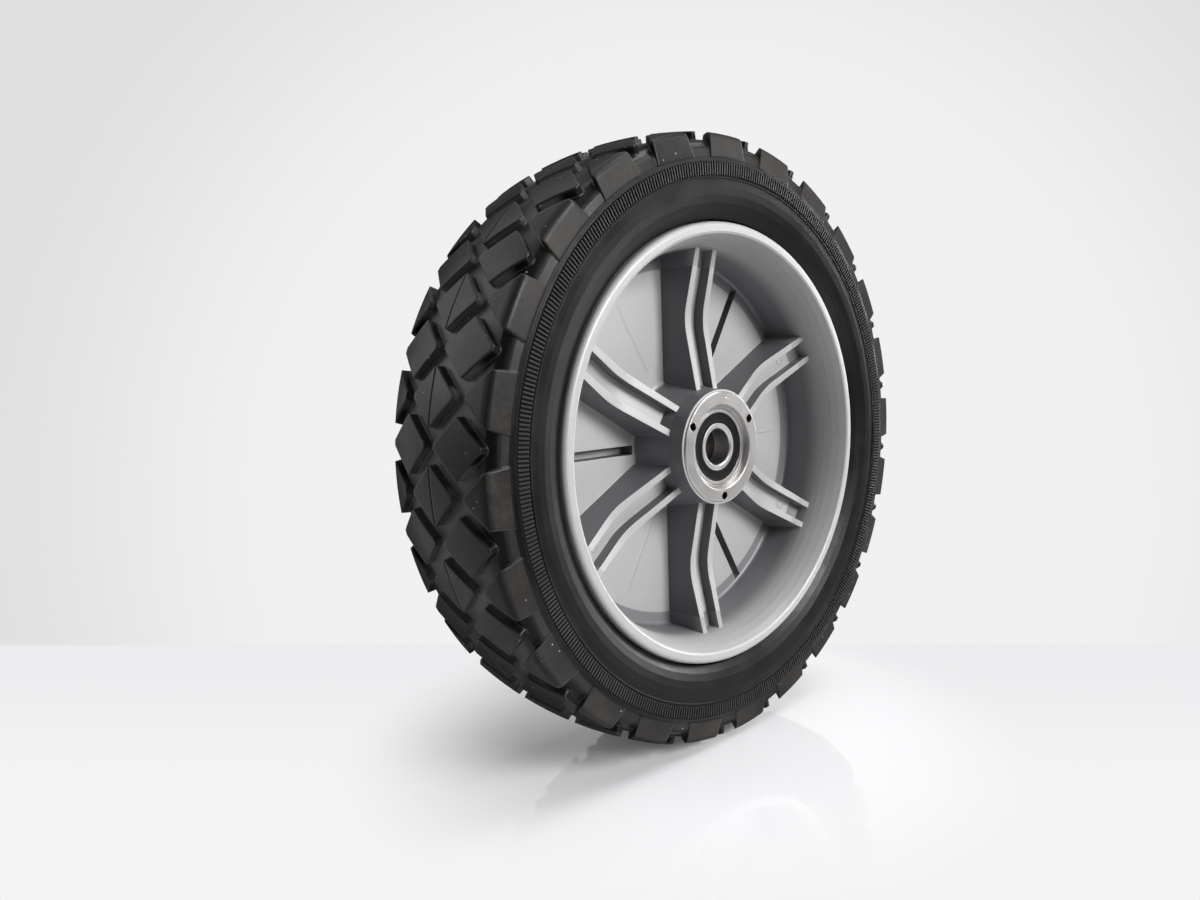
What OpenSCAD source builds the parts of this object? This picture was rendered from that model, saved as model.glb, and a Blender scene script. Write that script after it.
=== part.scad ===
// Flat-free wheel for garden machines: a solid foam tyre with a diamond block tread on a one-piece
// moulded rim with six double-rib spokes, and an aluminium hub sleeve with two sealed ball bearings.
// Millimetres. The spin axis is Y, the outer side of the wheel faces -Y, and the origin is its centre.
// Profiles are drawn as [radius, height], with the height counted along the axle towards the outer side.

/* [Tyre] */
// Outer diameter over the tread blocks
tyre_d = 245; // [242:0.5:248]
// Width over the sidewalls
tyre_w = 57.2; // [56.4:0.2:59]
// Radius of the crown, seen across the tread
crown_r = 140; // [120:5:200]
// Depth of the tread channels
tread_depth = 2.8; // [2.4:0.1:3.6]
// Width from one shoulder corner of the tread to the other
tread_w = 54.8; // [54:0.2:55.4]
// Radius that rounds the shoulder corners
shoulder_round = 2.2; // [1.4:0.1:2.8]
// How far the shoulder corners fall below the curve of the crown
shoulder_drop = 0.4; // [0:0.1:0.8]
// Width over which the floor of the channels bends down at a shoulder
floor_bend = 5.4; // [4.5:0.1:6.5]

/* [Tread pattern] */
// Pitches of the pattern around the tyre
pitches = 24; // [22:2:26]
// Angle of the first centre block from the top, in degrees
tread_phase = 10.66; // [0:0.5:15]
// Length of a diamond block around the tyre, at its upper edges
diamond_l = 20.5; // [19.3:0.1:21.3]
// Width of a diamond block across the tyre, at its upper edges
diamond_w = 24.7; // [23.7:0.1:25.5]
// Channel between two neighbouring blocks, at their upper edges
channel = 5.5; // [4.8:0.1:6.1]
// Half width of a shoulder lug where it folds down the sidewall
lug_half = 9; // [8.2:0.1:9.6]
// Distance from the crown down to the foot of a shoulder lug
lug_reach = 10.9; // [10.2:0.1:11.6]
// How far a lug's folded face stands out at its foot, past the shoulder corner
lug_spread = 0.75; // [0.5:0.05:0.9]
// How much of a lug's pointed inner end is cut off
lug_tip = 1.6; // [0.8:0.1:2.4]
// Height of the bevel along the top edges of a block
block_bevel = 0.5; // [0.3:0.1:0.9]
// Width of that bevel
bevel_w = 0.4; // [0.2:0.1:0.8]
// Lean of a block's walls, in degrees
block_lean = 5; // [3:0.5:9]
// Radius of a block's upright corners
block_round = 2.6; // [1.8:0.1:3.2]
// Width of the fine sipe that runs round through the centre blocks
sipe_w = 0.5; // [0.3:0.05:0.8]
// Depth of that sipe
sipe_depth = 1.6; // [1:0.1:2.4]

/* [Sidewall] */
// Height of the smooth strip between the lugs and the ribbed band
strip_h = 1.9; // [1.4:0.1:2.4]
// How far that strip leans in at its upper edge
strip_lean = 0.9; // [0.5:0.1:1.3]
// Distance from the crown down to the widest part, where the ribbed band begins
band_drop = 12.9; // [12.4:0.1:13.6]
// Radial height of the ribbed band
band_h = 5.5; // [4.5:0.1:6.5]
// How far the ribbed band leans in over its height
band_lean = 0.5; // [0.2:0.1:0.8]
// Height of the fine moulded line at the inner edge of the band
line_h = 0.35; // [0.2:0.05:0.6]
// Width of that line
line_w = 0.7; // [0.5:0.1:1]
// Share of that width that each flank of the line takes
line_flank = 0.2; // [0.1:0.05:0.4]
// How far the sidewall draws in between the band and the bead
side_draw = 4.5; // [4:0.1:5]
// How strongly the sidewall bows out on that stretch, where 1 is straight
side_bow = 2.5; // [2:0.1:3]
// Gap between the bead and the edge of the rim flange
bead_gap = 0.9; // [0.6:0.1:1.4]

/* [Rim] */
// Diameter over the flanges
rim_d = 177; // [175:0.5:179]
// Width over the flanges
rim_w = 51.6; // [50.6:0.2:52.4]
// Thickness of a flange
flange_t = 4.6; // [4:0.1:5.2]
// Inner radius of the flange's flat crest
crest_r = 84.2; // [83.6:0.1:84.8]
// Rounding of the flange's outer edge
flange_round = 2; // [1.2:0.1:2.8]
// Rounding of the crest's inner edge and of the flange's back edge
crest_round = 0.5; // [0.3:0.1:0.9]
// Wall between the bowl and the bead seat, next to the flange
seat_wall = 3.6; // [3:0.1:4.2]
// Length of the bead seat, from the flange inward
seat_l = 9.2; // [8:0.2:10.4]
// Wall of the barrel under the tyre, at its middle
barrel_wall = 4.2; // [3.6:0.1:4.8]
// Height of the ramp from the barrel's middle up to the bead seat
ramp_h = 1; // [0.5:0.1:1.5]
// Length of that ramp
ramp_l = 3; // [2:0.2:4]
// Draft of the bowl wall, in degrees
bowl_draft = 4.4; // [3.4:0.2:5.2]
// Length of the flared mouth of the bowl, along the axle
flare_l = 15.8; // [13:0.2:17]

/* [Disc] */
// Distance from the mid-plane back to the outer face of the disc
disc_back = 6.1; // [4.6:0.1:7.6]
// Thickness of the disc
disc_t = 4; // [3:0.1:5]
// Radius of the disc's outer face, where the bowl wall rises
disc_r = 78.5; // [77.7:0.1:79]
// Number of slots in the disc
slots = 3; // [1:1:6]
// Angle of the first slot from the top, in degrees
slot_phase = 28.3; // [26:0.1:31]
// Width of a slot
slot_w = 3.8; // [2.5:0.1:5]
// Depth of a slot, cored through the disc into the rib behind it
slot_depth = 6.6; // [5:0.1:8]
// Wall of that rib beside and behind the slot
slot_wall = 2.3; // [1.8:0.1:3]
// Solid disc left between a slot and the boss
slot_margin_in = 0.4; // [0.2:0.1:2]
// Solid disc left between a slot and the bowl wall
slot_margin_out = 1; // [0.6:0.1:3]

/* [Spokes] */
// Number of double-rib spokes
spokes = 6; // [5:1:7]
// Angle of the first spoke from the top, in degrees
spoke_phase = -1.7; // [-3:0.1:0]
// Height of a rib above the disc at the boss
rib_hub = 17; // [15:0.1:19]
// Height of the ribs' lines above the disc at their lowest point
rib_mid = 11.2; // [9.5:0.1:13]
// Height of a rib above the disc at the bowl wall
rib_rim = 18.4; // [16:0.1:20]
// Radius at which a rib is lowest
rib_dip_r = 52.2; // [46:0.2:58]
// Radius that rounds the dip
rib_dip_round = 30; // [20:1:45]
// Clear width of the channel between the two ribs
rib_gap = 7.8; // [6.8:0.1:8.8]
// Depth of that channel below the rib tops
rib_channel = 5; // [4:0.1:6]
// Half width of a spoke at the disc
spoke_half = 8.4; // [8:0.1:9.2]
// Draft of a spoke's flanks, in degrees
spoke_draft = 6.4; // [5:0.1:7]
// Skin left between the channel and the core pocket behind it
spoke_skin = 2.5; // [2:0.1:3]
// Height of the ribs on the back of the disc, at the boss and at the wall
back_rib_h = 8; // [6:0.2:10]
// Height of the back ribs at their lowest point
back_rib_mid = 4.5; // [3:0.1:6]
// Length of that low stretch
back_flat = 16; // [10:1:24]
// Width of the core pocket at the outermost end of its draft
pocket_top = 6.4; // [5.6:0.1:7]
// Width of the core pocket at the back
pocket_base = 9.6; // [9:0.1:10.6]
// Solid left between the core pocket and the boss or the bowl wall
pocket_margin = 3.2; // [2.5:0.1:5]

/* [Boss] */
// Radius of the boss at the disc
boss_base_r = 27.4; // [26.6:0.1:28.4]
// Radius of the boss at the back of the disc
boss_rear_r = 26.8; // [26:0.1:27.4]
// Radius of the boss where its cone ends
boss_cone_r = 24.1; // [23.9:0.1:24.8]
// Height of the cone's end above the disc
boss_cone_h = 17; // [14:0.1:19]
// Radius of the boss at its end face
boss_end_r = 23.7; // [23.5:0.1:23.9]
// Rounding where the cone meets the straight end of the boss
boss_blend = 3; // [2:0.5:4]
// Rounding of the boss's end edges
boss_round = 0.4; // [0.2:0.1:0.6]
// Fillets where the boss and the bowl wall meet the disc
disc_fillet = 1.6; // [1:0.1:2.4]

/* [Hub sleeve] */
// Length of the sleeve
sleeve_l = 38; // [37.2:0.2:39.2]
// Radius of the sleeve's two heads
sleeve_r = 22.8; // [22.5:0.05:23.1]
// How far a head stands out of the plastic boss
sleeve_proud = 0.8; // [0.4:0.1:1.4]
// Length of a head
head_l = 9.5; // [8.8:0.1:10.5]
// Radius of the waist between the heads, which the plastic locks into
waist_r = 20; // [19.4:0.1:20.6]
// Radius of the collar in the middle of the waist
collar_r = 21.8; // [21.2:0.1:22.4]
// Width of that collar
collar_w = 5; // [3:0.2:7]
// Radius of the recess in a head
recess_r = 17.35; // [17:0.05:17.7]
// Depth of that recess down to the bearing
recess_h = 2.5; // [1.5:0.1:3.2]
// Radius of the bore between the bearings
sleeve_bore_r = 14; // [13.6:0.1:14.6]
// Bevel round the edges of a head
sleeve_bevel = 0.4; // [0.2:0.1:0.7]
// Number of tapped holes in the outer head
tapped = 3; // [2:1:4]
// Angle of the first tapped hole from the top, in degrees
tapped_phase = 56.5; // [50:0.5:64]
// Pitch circle diameter of the tapped holes
tapped_pcd = 40.6; // [40.2:0.1:41]
// Radius of a tapped hole
tapped_r = 1.65; // [1.25:0.05:1.7]
// Depth of a tapped hole
tapped_depth = 8; // [5:0.5:9]

/* [Ball bearings] */
// Bore of the bearing
brg_bore = 15; // [14.6:0.1:15.4]
// Outside diameter of the bearing
brg_od = 32; // [31.6:0.1:32.4]
// Width of the bearing
brg_w = 9; // [8.8:0.1:9.4]
// Diameter of a ball
ball_d = 4.762; // [4.5:0.01:4.8]
// Number of balls
balls = 9; // [7:1:9]
// Play between a ball and its raceway
ball_play = 0.05; // [0.02:0.01:0.08]
// Play between a ball and its cage pocket
pocket_play = 0.05; // [0.03:0.01:0.15]
// Height of a ring's shoulders, measured from the middle of the ball to the land
land = 1.55; // [1.45:0.05:1.7]
// Radius of the inner ring under the seal lip
lip_r = 9.87; // [9.7:0.01:9.95]
// Play between the seal lip and the turning ring
lip_play = 0.05; // [0.03:0.01:0.1]
// Radius of the outer ring's mouth in front of the seal
mouth_r = 14.3; // [14.1:0.05:14.5]
// Depth of the groove that holds the seal
seal_groove = 0.3; // [0.2:0.05:0.4]
// Thickness of a seal
seal_t = 0.8; // [0.6:0.05:0.9]
// How far a seal sits back from the bearing's face
seal_back = 0.35; // [0.2:0.05:0.45]
// Side play between a seal and the shoulder of the inner ring
seal_side = 0.3; // [0.2:0.05:0.4]
// Bevel on the rings' corners
ring_bevel = 0.5; // [0.3:0.05:0.6]
// Bevel on the edges of the inner ring and of the seal where the two run past each other
lip_bevel = 0.2; // [0.1:0.05:0.3]
// Width of the raised lip along the inner edge of a seal
seal_lip = 1.1; // [0.8:0.1:1.4]
// Width of the raised rim along the outer edge of a seal, inside the ring's mouth
seal_rim = 0.5; // [0.3:0.1:0.8]
// Depth of the relief between the two
seal_relief = 0.2; // [0.1:0.05:0.3]
// Sheet thickness of the cage
cage_t = 0.45; // [0.35:0.05:0.5]
// Radial width of the cage
cage_w = 1.5; // [1.2:0.1:1.7]
// Radius of a cage rivet
rivet_r = 0.4; // [0.3:0.05:0.45]
// Radius of a rivet's head
rivet_head_r = 0.7; // [0.6:0.05:0.75]
// Height of a rivet's head
rivet_head_h = 0.25; // [0.15:0.05:0.35]

/* [Spacer tube] */
// Play between the axle's diameter and the spacer's bore
spacer_play = 0.2; // [0.1:0.05:0.5]
// Wall of the spacer tube
spacer_wall = 1.9; // [1.4:0.1:2.1]

/* [Hidden] */
$fn = 144;
// Facets of small round features and of the raceways
small_fn = 32;
race_fn = 48;
// Overshoot of cutters and blanks past the faces at which they end
over = 1;
// Depth to which tread blocks and spokes are sunk into what carries them
root = 1.5;
// Points along the curved stretches of the outlines
floor_steps = 5;
bend_steps = 4;
side_steps = 5;
crown_steps = 6;
bowl_steps = 9;
rear_bowl_steps = 6;
dip_steps = 6;

// Tyre stations
tyre_r = tyre_d / 2;
side_h = tyre_w / 2;
shoulder_h = tread_w / 2;
band_r = tyre_r - band_drop;
line_r = band_r - band_h;
lug_foot_r = tyre_r - lug_reach;
pitch_a = 360 / pitches;
pitch_l = 2 * PI * tyre_r / pitches;

// Rim stations
rim_r = rim_d / 2;
crest_h = rim_w / 2;
flange_h = crest_h - flange_t;
flare_h = crest_h - flare_l;
bead_r = rim_r + bead_gap;
disc_front = -disc_back;
disc_rear = -disc_back - disc_t;
seat_r = bowl(flange_h) + seat_wall;
well_r = bowl(0) + barrel_wall;
seat_end_h = flange_h - seat_l;
seat_end_r = well_r + ramp_h;
well_h = seat_end_h - ramp_l;

// Hub stations
sleeve_h = sleeve_l / 2;
boss_h = sleeve_h - sleeve_proud;
waist_h = sleeve_h - head_l;
brg_face = sleeve_h - recess_h;
brg_mid = brg_face - brg_w / 2;
brg_step = brg_face - brg_w;

// Bearing stations
brg_r = brg_od / 2;
bore_r = brg_bore / 2;
ball_r = ball_d / 2;
pitch_r = (brg_r + bore_r) / 2;
race_r = ball_r + ball_play;
inner_land_r = pitch_r - land;
outer_land_r = pitch_r + land;
ring_h = brg_w / 2;
seal_out_h = ring_h - seal_back;
seal_in_h = seal_out_h - seal_t;
pocket_r = ball_r + pocket_play;

// Radius of the crown at a height, and the angle by which it leans there
function crown(h) = tyre_r - crown_r + sqrt(crown_r * crown_r - h * h);
function lean(h) = asin(h / crown_r);

// Radius of the bowl wall at a distance from the mid-plane: a drafted wall with a flared mouth
function bowl_straight(h) = disc_r + (h + disc_back) * tan(bowl_draft);
function bowl(h) = bowl_straight(h)
    + (crest_r - bowl_straight(crest_h)) * pow(max(0, h - flare_h) / flare_l, 2);

// Points of a closed outline with every corner rounded by its own radius, given as its third number
function unit(v) = v / norm(v);
function xy(p) = [p[0], p[1]];
function corner(a, p, b, r, n) =
    let (u = unit(a - p), v = unit(b - p), half = acos(u * v) / 2)
    let (c = p + unit(u + v) * r / sin(half))
    let (s = p + u * r / tan(half) - c, e = p + v * r / tan(half) - c)
    let (from = atan2(s[1], s[0]), swing = atan2(s[0] * e[1] - s[1] * e[0], s * e))
    [for (i = [0 : n]) c + r * [cos(from + swing * i / n), sin(from + swing * i / n)]];
function soften(pts, n = 4) = [for (i = [0 : len(pts) - 1])
    let (p = pts[i], a = pts[(i + len(pts) - 1) % len(pts)], b = pts[(i + 1) % len(pts)])
    each p[2] > 0 ? corner(xy(a), xy(p), xy(b), p[2], n) : [xy(p)]];
function flip(pts) = [for (i = [len(pts) - 1 : -1 : 0]) [pts[i][0], -pts[i][1], pts[i][2]]];

// Turns the axle from Z to Y, with the outer side of the wheel towards -Y
module lay() rotate([90, 0, 0]) children();
// Puts a feature drawn along +X at an angle counted clockwise from the top, seen from the outer side
module clock(a) rotate([0, 0, 90 - a]) children();
// The rear half mirrors the front half
module side(s) mirror([0, 0, s < 0 ? 1 : 0]) children();

// Half of the carcass outline, from the middle of the channels' floor to the bead seat
floor_end_h = shoulder_h - floor_bend;
floor_end_r = crown(floor_end_h) - tread_depth;
strip_r = band_r + strip_h;
strip_top_h = side_h - strip_lean;
line_top_h = side_h - band_lean + line_h;
wall_r = line_r - line_w;
carcass_half = concat(
    [for (i = [0 : floor_steps - 1]) let (h = floor_end_h * i / floor_steps)
        [crown(h) - tread_depth, h, 0]],
    [for (i = [0 : bend_steps]) let (a = 90 * i / bend_steps)
        [strip_r + (floor_end_r - strip_r) * cos(a), floor_end_h + (strip_top_h - floor_end_h) * sin(a), 0]],
    [[band_r, side_h, 0],
    [line_r, side_h - band_lean, 0],
    [line_r - line_w * line_flank, line_top_h, 0],
    [line_r - line_w * (1 - line_flank), line_top_h, 0]],
    [for (i = [side_steps : -1 : 0]) let (t = i / side_steps)
        [bead_r + (wall_r - bead_r) * t, side_h - band_lean - side_draw * pow(1 - t, side_bow), 0]],
    [[bead_r, flange_h, 0],
    [seat_r, flange_h, 0],
    [seat_end_r, seat_end_h, 0],
    [well_r, well_h, 0]]);
carcass = concat(flip(carcass_half), [for (i = [1 : len(carcass_half) - 1]) carcass_half[i]]);

// Outer limit of all tread blocks: crown, rounded shoulders and the faces folded down the sidewalls
lug_face_h = shoulder_h + lug_spread;
crown_end_h = shoulder_h - 1.2 * shoulder_round;
tread_half = concat(
    [[crown(0) - sipe_depth, 0, 0],
    [crown(0) - sipe_depth, sipe_w / 2, 0]],
    [for (i = [0 : crown_steps]) let (h = sipe_w / 2 + (crown_end_h - sipe_w / 2) * i / crown_steps)
        [crown(h), h, 0]],
    [[crown(shoulder_h) - shoulder_drop, shoulder_h, shoulder_round],
    [lug_foot_r, lug_face_h, 0],
    [band_r, lug_face_h, 0]]);
tread_outline = soften(concat(flip(tread_half), [for (i = [1 : len(tread_half) - 1]) tread_half[i]]), 3);

// Tread block geometry: half diagonals, distance from centre to edge, angle of the edges to the axle
half_l = diamond_l / 2;
half_w = diamond_w / 2;
edge_d = half_l * half_w / norm([half_l, half_w]);
edge_a = atan2(half_l, half_w);
block_h = tread_depth + root;
corner_grow = 1 + block_h * tan(block_lean) / edge_d;
// Axial place of the side diamonds, so that one channel width separates them from the centre ones
side_w = half_w * (2 + channel / edge_d - pitch_l / 2 / half_l);
// Axial place of a shoulder lug's point, one channel width from the side diamonds
lug_point_w = side_w + half_w * (1 + channel / edge_d - pitch_l / 2 / half_l);
lug_mid_w = (lug_point_w + shoulder_h) / 2;
bar_l = 3 * diamond_w;

// A bar that lies along the axle at the crown, with leaning flanks and bevelled top edges
module block_bar(half, depth) {
    foot = half + depth * tan(block_lean);
    top = half - bevel_w;
    rotate([0, 0, -90]) linear_extrude(height = bar_l, center = true)
        polygon([[-foot, -depth], [foot, -depth], [half, -block_bevel], [top, 0], [top, over],
            [-top, over], [-top, 0], [-half, -block_bevel]]);
}

// Two such bars that cross at the slope of the diamonds' edges
module crossed_bars(half, depth) intersection_for (s = [1, -1])
    rotate([s * edge_a, 0, 0]) block_bar(half, depth);

// Diamond block: two crossed bars inside an upright prism with rounded corners
module diamond_block() intersection() {
    crossed_bars(edge_d, block_h);
    translate([-block_h - over, 0, 0]) rotate([0, 90, 0])
        linear_extrude(height = block_h + 2 * over) polygon(soften([
            [-half_w * corner_grow, 0, block_round], [0, half_l * corner_grow, block_round],
            [half_w * corner_grow, 0, block_round], [0, -half_l * corner_grow, block_round]], 3));
}

// Shoulder lug: its inner end is the point of a diamond of twice the size, its flanks run straight
// down the sidewall
module shoulder_lug() {
    depth = crown(lug_mid_w) - lug_foot_r;
    point_w = lug_point_w - lug_mid_w;
    intersection() {
        translate([0, 0, point_w + 2 * half_w]) crossed_bars(2 * edge_d, depth);
        block_bar(lug_half, depth);
        translate([-depth - over, -bar_l / 2, point_w + lug_tip]) cube([depth + 2 * over, bar_l, bar_l]);
    }
}

// Places a block on the crown, square to it, at an angle and an axial distance
module on_crown(a, w) clock(a) translate([crown(w), 0, w]) rotate([0, -lean(w), 0]) children();

module tread_blocks() intersection() {
    union() for (k = [0 : pitches - 1]) {
        on_crown(tread_phase + k * pitch_a, 0) diamond_block();
        for (s = [1, -1]) side(s) {
            on_crown(tread_phase + (k + 0.5) * pitch_a, side_w) diamond_block();
            on_crown(tread_phase + k * pitch_a, lug_mid_w) shoulder_lug();
        }
    }
    rotate_extrude() polygon(tread_outline);
}

module tyre() color([0.07, 0.07, 0.075]) lay() {
    rotate_extrude() polygon(soften(carcass));
    tread_blocks();
}

// Rim section as one outline: boss, disc, bowls, flanges, bead seats and barrel
rim_front = concat(
    [[waist_r - over, boss_h, 0],
    [boss_end_r, boss_h, boss_round],
    [boss_cone_r, disc_front + boss_cone_h, boss_blend],
    [boss_base_r, disc_front, disc_fillet],
    [disc_r, disc_front, disc_fillet]],
    [for (i = [1 : bowl_steps - 1]) let (h = disc_front + (crest_h - disc_front) * i / bowl_steps)
        [bowl(h), h, 0]],
    [[crest_r, crest_h, crest_round],
    [rim_r, crest_h, flange_round],
    [rim_r, flange_h, crest_round],
    [seat_r, flange_h, 0],
    [seat_end_r, seat_end_h, 0],
    [well_r, well_h, 0]]);
rim_rear = concat(
    [[waist_r - over, boss_h, 0],
    [boss_end_r, boss_h, boss_round],
    [boss_rear_r, -disc_rear, disc_fillet],
    [bowl(-disc_rear), -disc_rear, disc_fillet]],
    [for (i = [1 : rear_bowl_steps - 1]) let (h = -disc_rear + (crest_h + disc_rear) * i / rear_bowl_steps)
        [bowl(h), h, 0]],
    [[crest_r, crest_h, crest_round],
    [rim_r, crest_h, flange_round],
    [rim_r, flange_h, crest_round],
    [seat_r, flange_h, 0],
    [seat_end_r, seat_end_h, 0],
    [well_r, well_h, 0]]);

// Line of the rib tops in [radius, height], with a rounded dip, and the same line moved by a height
spoke_in_r = boss_end_r - root / 2;
spoke_out_r = bowl(disc_front + rib_rim) + root;
rib_line = concat([[spoke_in_r, disc_front + rib_hub]],
    corner([spoke_in_r, disc_front + rib_hub], [rib_dip_r, disc_front + rib_mid],
        [spoke_out_r, disc_front + rib_rim], rib_dip_round, dip_steps),
    [[spoke_out_r, disc_front + rib_rim]]);
back_line = [[spoke_out_r, disc_rear - back_rib_h],
    [rib_dip_r + back_flat / 2, disc_rear - back_rib_mid],
    [rib_dip_r - back_flat / 2, disc_rear - back_rib_mid],
    [spoke_in_r, disc_rear - back_rib_h]];
function lifted(pts, d) = [for (p = pts) [p[0], p[1] + d]];

// Solid between a line of the rib profile and another, seen from the side of the spoke
module side_view(pts, w) rotate([90, 0, 0]) linear_extrude(height = w, center = true) polygon(pts);
// Section across the spoke, run along its length: [half width, height] points of one side
module along(half, from, to) translate([from, 0, 0]) rotate([90, 0, 90])
    linear_extrude(height = to - from) polygon(concat(half,
        [for (i = [len(half) - 1 : -1 : 0]) [-half[i][0], half[i][1]]]));

// One spoke: a drafted beam with a channel along its outer side and two ribs along its back
module spoke() {
    reach = max(rib_hub, rib_rim) + over;
    deep = back_rib_h + disc_t;
    difference() {
        intersection() {
            side_view(concat(rib_line, back_line), spoke_half * 3);
            along([[spoke_half - deep * tan(spoke_draft), disc_front - deep], [spoke_half, disc_front],
                [spoke_half - reach * tan(spoke_draft), disc_front + reach]], spoke_in_r, spoke_out_r);
        }
        side_view(concat(lifted(rib_line, -rib_channel), [[spoke_out_r + over, disc_front + reach],
            [spoke_in_r - over, disc_front + reach]]), rib_gap);
    }
}

// Core pocket behind a spoke's channel, open to the back
module spoke_pocket() {
    from = boss_base_r + pocket_margin;
    to = disc_r - pocket_margin;
    deep = back_rib_h + disc_t + over;
    top = rib_rim - rib_channel;
    intersection() {
        side_view(concat(lifted(rib_line, -rib_channel - spoke_skin),
            [[spoke_out_r, disc_front - deep], [spoke_in_r, disc_front - deep]]), spoke_half * 3);
        along([[pocket_base / 2, disc_front - deep], [pocket_base / 2, disc_rear],
            [pocket_top / 2, disc_front + top]], from, to);
    }
}

// Slot in the disc's outer face, which also cuts the fillets at its two ends
module disc_slot() translate([boss_base_r + slot_margin_in, -slot_w / 2, disc_front - slot_depth])
    cube([disc_r - boss_base_r - slot_margin_in - slot_margin_out, slot_w,
        slot_depth + disc_fillet + over]);

// Drafted rib on the disc's back, which closes the slot behind
module slot_rib() {
    crest = slot_w / 2 + slot_wall;
    high = slot_depth + slot_wall - disc_t;
    along([[crest, disc_rear - high], [crest + (high + root) * tan(spoke_draft), disc_rear + root]],
        boss_end_r, spoke_out_r);
}

module rim() color([0.63, 0.64, 0.66]) lay() difference() {
    union() {
        rotate_extrude() polygon(soften(concat(rim_front, flip(rim_rear))));
        for (k = [0 : spokes - 1]) clock(spoke_phase + k * 360 / spokes) spoke();
        for (k = [0 : slots - 1]) clock(slot_phase + k * 360 / slots) slot_rib();
    }
    for (k = [0 : spokes - 1]) clock(spoke_phase + k * 360 / spokes) spoke_pocket();
    for (k = [0 : slots - 1]) clock(slot_phase + k * 360 / slots) disc_slot();
    sleeve_outline();
}

// Outside of the sleeve, which is also the seat that the rim is moulded round it
sleeve_half = [[sleeve_r - sleeve_bevel, sleeve_h, 0], [sleeve_r, sleeve_h - sleeve_bevel, 0],
    [sleeve_r, waist_h, 0], [waist_r, waist_h, 0], [waist_r, collar_w / 2, 0], [collar_r, collar_w / 2, 0]];
module sleeve_outline() rotate_extrude() polygon(soften(concat(
    [[0, sleeve_h, 0]], sleeve_half, flip(sleeve_half), [[0, -sleeve_h, 0]])));

// Inside of the sleeve: recess, bearing seat and shoulder at each end
bore_half = [[recess_r + sleeve_bevel, sleeve_h, 0], [recess_r, sleeve_h - sleeve_bevel, 0],
    [recess_r, brg_face, 0], [brg_r, brg_face, 0], [brg_r, brg_step, 0], [sleeve_bore_r, brg_step, 0]];
bore_end = [[0, sleeve_h + over, 0], [recess_r + sleeve_bevel, sleeve_h + over, 0]];
module hub_sleeve() color([0.80, 0.81, 0.82]) lay() difference() {
    sleeve_outline();
    rotate_extrude() polygon(soften(concat(bore_end, bore_half, flip(bore_half), flip(bore_end))));
    for (k = [0 : tapped - 1]) clock(tapped_phase + k * 360 / tapped)
        translate([tapped_pcd / 2, 0, sleeve_h - tapped_depth])
            cylinder(h = tapped_depth + over, r = tapped_r, $fn = small_fn);
}

// Distance tube between the two inner rings
module spacer_tube() color([0.45, 0.46, 0.48]) lay() difference() {
    cylinder(h = 2 * brg_step, r = bore_r + spacer_play / 2 + spacer_wall, center = true);
    cylinder(h = 2 * (brg_step + over), r = bore_r + spacer_play / 2, center = true);
}

// Bearing pieces, drawn about the middle of the bearing
module raceway() rotate_extrude() translate([pitch_r, 0]) circle(r = race_r, $fn = race_fn);

module outer_ring_body() difference() {
    rotate_extrude() polygon([[mouth_r, ring_h], [brg_r - ring_bevel, ring_h], [brg_r, ring_h - ring_bevel],
        [brg_r, -ring_h + ring_bevel], [brg_r - ring_bevel, -ring_h], [mouth_r, -ring_h],
        [mouth_r, -seal_out_h], [mouth_r + seal_groove, -seal_out_h], [mouth_r + seal_groove, -seal_in_h],
        [outer_land_r, -seal_in_h], [outer_land_r, seal_in_h],
        [mouth_r + seal_groove, seal_in_h], [mouth_r + seal_groove, seal_out_h], [mouth_r, seal_out_h]]);
    raceway();
}

module inner_ring_body() difference() {
    shoulder = seal_in_h - seal_side;
    rotate_extrude() polygon([[bore_r, -ring_h + ring_bevel], [bore_r + ring_bevel, -ring_h],
        [lip_r - lip_bevel, -ring_h], [lip_r, -ring_h + lip_bevel], [lip_r, -shoulder],
        [inner_land_r, -shoulder], [inner_land_r, shoulder], [lip_r, shoulder],
        [lip_r, ring_h - lip_bevel], [lip_r - lip_bevel, ring_h],
        [bore_r + ring_bevel, ring_h], [bore_r, ring_h - ring_bevel]]);
    raceway();
}

// Places what follows at each ball, or midway between the balls for a shift of one half
module around(shift = 0) for (k = [0 : balls - 1]) clock((k + shift) * 360 / balls)
    translate([pitch_r, 0, 0]) children();

module balls_body() around() sphere(r = ball_r, $fn = small_fn);

// One half of the pressed ribbon cage: a flat ring with a half round pocket over each ball
module cage_body() difference() {
    intersection() {
        difference() {
            cylinder(h = ball_d, r = pitch_r + cage_w / 2);
            translate([0, 0, -over]) cylinder(h = ball_d + 2 * over, r = pitch_r - cage_w / 2);
        }
        union() {
            cylinder(h = cage_t, r = pitch_r + cage_w);
            around() sphere(r = pocket_r + cage_t, $fn = small_fn);
        }
    }
    around() sphere(r = pocket_r, $fn = small_fn);
    around(0.5) translate([0, 0, -over]) cylinder(h = cage_t + 2 * over, r = rivet_r, $fn = small_fn);
}

// Rivets between the pockets, with a head on each side of the cage
module rivets_body() around(0.5) {
    cylinder(h = 2 * (cage_t + rivet_head_h), r = rivet_r, $fn = small_fn, center = true);
    for (s = [1, -1]) side(s) translate([0, 0, cage_t])
        cylinder(h = rivet_head_h, r = rivet_head_r, $fn = small_fn);
}

// Contact seal: held in the outer ring's groove, its lip runs round the inner ring
module seal_body() {
    edge_r = lip_r + lip_play;
    groove_r = mouth_r + seal_groove;
    relief_h = seal_out_h - seal_relief;
    rotate_extrude() polygon([[edge_r, seal_in_h], [groove_r, seal_in_h], [groove_r, seal_out_h],
        [mouth_r - seal_rim, seal_out_h], [mouth_r - seal_rim - 2 * seal_relief, relief_h],
        [edge_r + seal_lip + 2 * seal_relief, relief_h], [edge_r + seal_lip, seal_out_h],
        [edge_r + lip_bevel, seal_out_h], [edge_r, seal_out_h - lip_bevel]]);
}

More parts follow.
